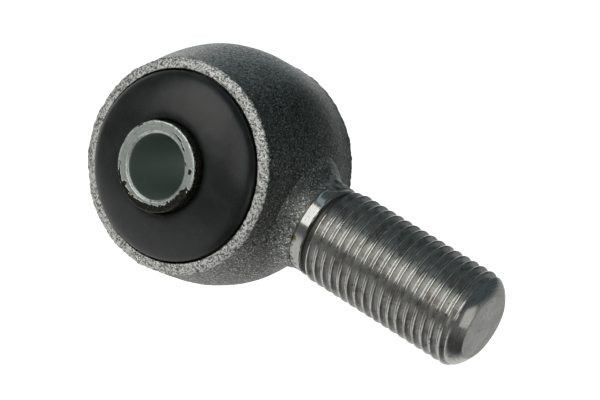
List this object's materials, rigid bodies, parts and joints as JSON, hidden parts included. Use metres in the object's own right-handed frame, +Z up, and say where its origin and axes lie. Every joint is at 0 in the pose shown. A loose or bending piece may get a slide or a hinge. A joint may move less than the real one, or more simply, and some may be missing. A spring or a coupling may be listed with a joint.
{
  "type": "rod end bearing",
  "caption": "Rubber-bushed rod end: a forged steel eye with a threaded shank, pivoting and tilting a little about a steel inner sleeve held in bonded rubber.",
  "frame": {"origin": "centre of the eye, on the axis of the bolt that holds it, midway between the sleeve's two ends", "axes": "+X along the threaded shank, away from the eye; Y along the eye's axis, with the face seen best at -Y; +Z up"},
  "size_m": [0.0572, 0.0296, 0.0308],
  "materials": {
    "forged_steel": "as-forged and blasted eye, dark grey with a bright pitted rim; bare bright rolled thread on the shank",
    "outer_sleeve_steel": "thin dark steel shell",
    "rubber": "matte moulded rubber",
    "zinc_plated_steel": "bright zinc plate with turning marks"
  },
  "bodies": {
    "sleeve": {"inner_sleeve": "zinc_plated_steel"},
    "bush": {"rubber_bush": "rubber"},
    "eye": {"rod_end_body": "forged_steel", "outer_sleeve": "outer_sleeve_steel"}
  },
  "joints": [
    {"name": "bush_twist", "type": "hinge", "parent": "sleeve", "child": "bush", "pos_m": [0, 0, 0], "axis": [0, 1, 0], "range_deg": [-20, 20], "stiffness_Nm_per_rad": 6, "deforming": ["rubber_bush"]},
    {"name": "eye_tilt", "type": "hinge", "parent": "bush", "child": "eye", "pos_m": [0, 0, 0], "axis": [0, 0, 1], "range_deg": [-4, 4], "stiffness_Nm_per_rad": 8, "deforming": ["rubber_bush"]}
  ]
}
